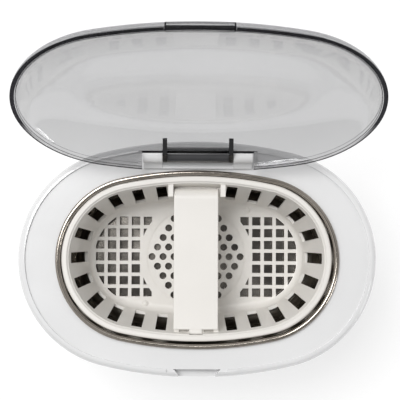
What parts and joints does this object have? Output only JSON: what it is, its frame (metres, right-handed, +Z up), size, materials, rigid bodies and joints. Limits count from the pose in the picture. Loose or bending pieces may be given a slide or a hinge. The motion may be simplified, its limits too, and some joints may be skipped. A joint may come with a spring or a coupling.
{
  "type": "ultrasonic cleaner",
  "caption": "Oval bench-top ultrasonic cleaner with steel tank, lift-out slotted basket with a bridge across it, smoked hinged lid and front key panel.",
  "frame": {"origin": "on the table under the middle of the whole object with its lid open; the housing's own middle is 25.7 mm in front of it", "axes": "+X to the object's right seen from the front, +Y to the rear (the hinge side), +Z up"},
  "size_m": [0.212, 0.191, 0.2274],
  "materials": {
    "white_plastic": "gloss moulded ABS",
    "ivory_plastic": "satin moulded polypropylene",
    "smoked_clear": "clear smoked moulding",
    "dark_smoke": "dark smoked moulding",
    "stainless": "polished deep-drawn steel",
    "screw_steel": "zinc plated",
    "grey_rubber": "matt silicone",
    "grey_panel": "satin grey",
    "display_smoke": "dark clear window",
    "dark_plastic": "moulded black",
    "grey_button": "satin",
    "circuit_board": "green laminate",
    "aluminium": "turned",
    "piezo_ceramic": "silvered ceramic",
    "brass": "bright"
  },
  "bodies": {
    "housing": {"upper_housing": "white_plastic", "bottom_cover": "white_plastic", "rubber_feet": "grey_rubber", "base_screws": "screw_steel", "tank": "stainless", "tank_gasket": "grey_rubber", "hinge_bracket": "white_plastic", "bracket_screws": "screw_steel", "hinge_pin": "screw_steel", "control_panel": "grey_panel", "display_window": "display_smoke", "display_module": "dark_plastic", "control_board": "circuit_board", "board_clips": "white_plastic", "driver_board": "circuit_board", "board_screws": "screw_steel", "transformer": "dark_plastic", "capacitors": "aluminium", "heatsink": "aluminium", "power_transistor": "dark_plastic", "transducer_horn": "aluminium", "piezo_rings": "piezo_ceramic", "electrode_plates": "brass", "transducer_back_mass": "screw_steel", "transducer_bolt": "screw_steel", "power_inlet": "dark_plastic", "inlet_pins": "brass"},
    "lid": {"lid_shell": "smoked_clear", "lid_hinge_barrel": "dark_smoke"},
    "basket": {"basket": "ivory_plastic"},
    "bridge": {"bridge_holder": "ivory_plastic"},
    "power_key": {"button_power": "grey_button"},
    "minus_key": {"button_minus": "grey_button"},
    "plus_key": {"button_plus": "grey_button"}
  },
  "joints": [
    {"name": "lid_hinge", "type": "hinge", "parent": "housing", "child": "lid", "pos_m": [0, 0.0353, 0.1134], "axis": [-1, 0, 0], "range_deg": [-120.4, 0]},
    {"name": "basket_lift", "type": "slide", "parent": "housing", "child": "basket", "axis": [0, 0, 1], "range_m": [0, 0.09]},
    {"name": "bridge_lift", "type": "slide", "parent": "basket", "child": "bridge", "axis": [0, 0, 1], "range_m": [0, 0.05]},
    {"name": "press_power", "type": "slide", "parent": "housing", "child": "power_key", "axis": [0, 1, 0], "range_m": [0, 0.0012], "stiffness_N_per_m": 1200, "springref_m": -0.0004},
    {"name": "press_minus", "type": "slide", "parent": "housing", "child": "minus_key", "axis": [0, 1, 0], "range_m": [0, 0.0012], "stiffness_N_per_m": 1200, "springref_m": -0.0004},
    {"name": "press_plus", "type": "slide", "parent": "housing", "child": "plus_key", "axis": [0, 1, 0], "range_m": [0, 0.0012], "stiffness_N_per_m": 1200, "springref_m": -0.0004}
  ]
}
